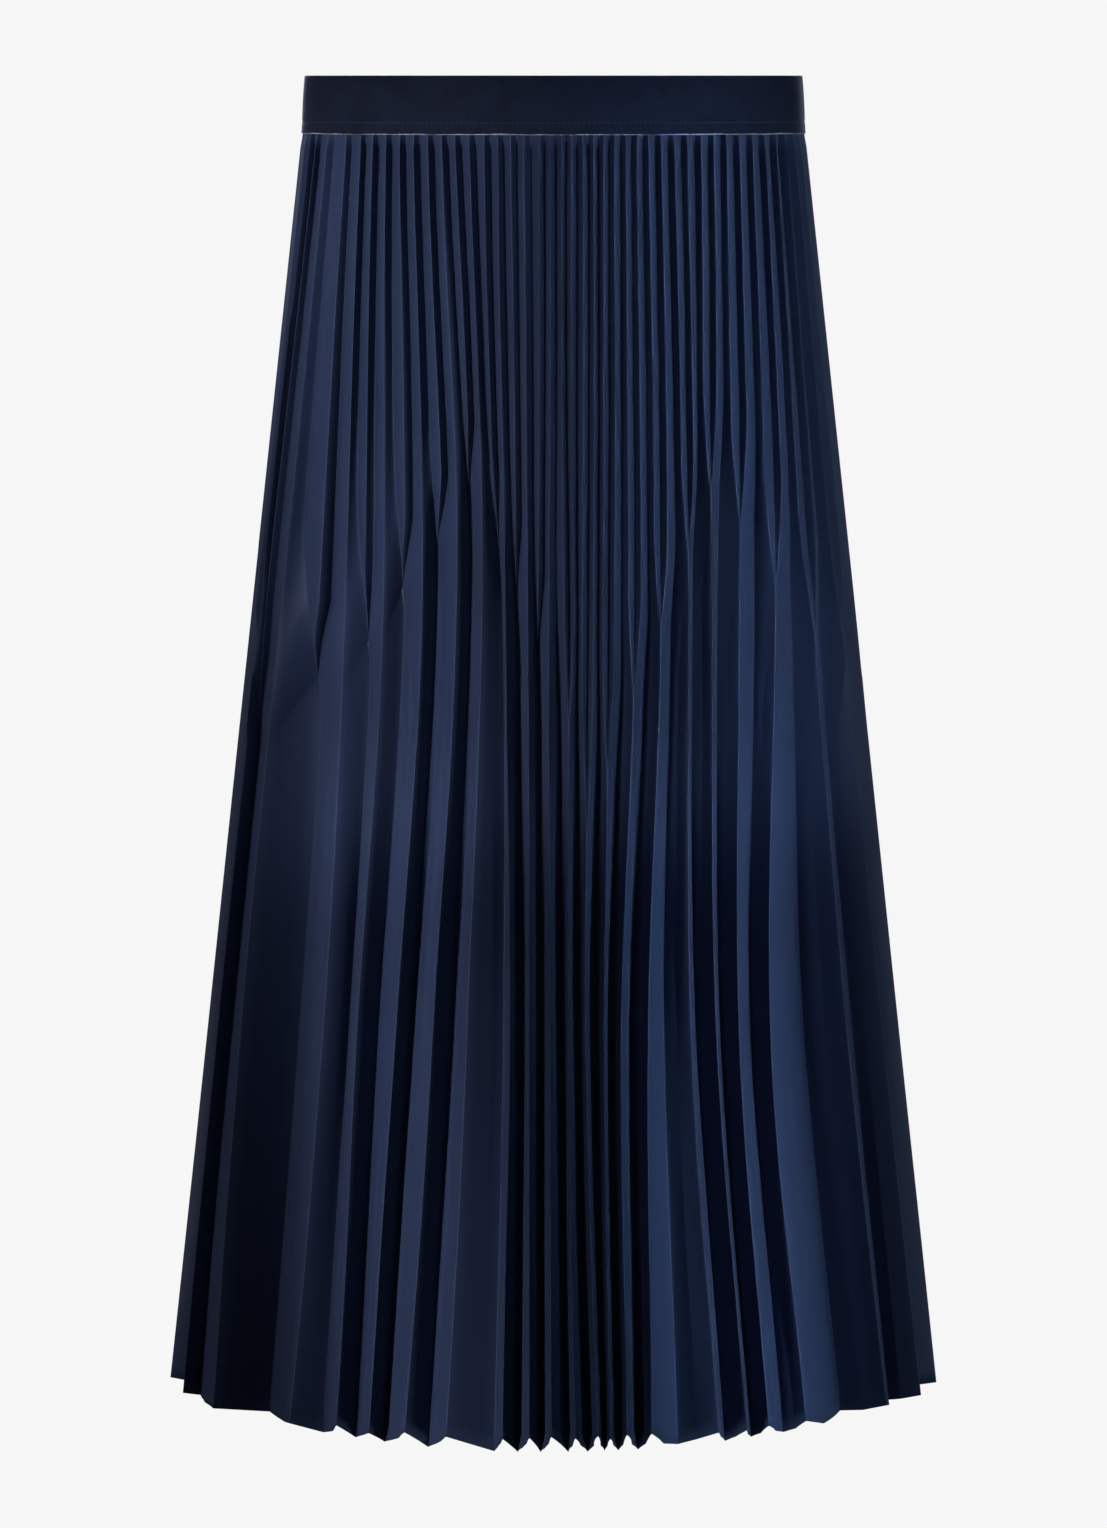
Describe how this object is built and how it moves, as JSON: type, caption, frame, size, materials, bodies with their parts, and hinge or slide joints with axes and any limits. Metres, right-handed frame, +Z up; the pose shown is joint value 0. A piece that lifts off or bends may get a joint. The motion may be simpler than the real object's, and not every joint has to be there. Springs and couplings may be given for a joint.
{
  "type": "pleated midi skirt",
  "caption": "Hollow worn midi skirt: elastic waistband over front and back panels of accordion pleats that join in pairs and flare to the hem.",
  "frame": {"origin": "centre of the waist, half way up the waistband, where the wearer's waist holds the skirt", "axes": "+Z up, the front of the skirt faces -Y, +X is to the viewer's right when looking at the front"},
  "size_m": [0.4405, 0.268, 0.76],
  "materials": {
    "navy_satin": "satin-faced twill, pressed in sharp pleats",
    "navy_elastic": "matte velvet-faced elastic"
  },
  "bodies": {
    "root": {"waistband": "navy_elastic", "skirt_front": "navy_satin", "skirt_back": "navy_satin"}
  },
  "joints": []
}
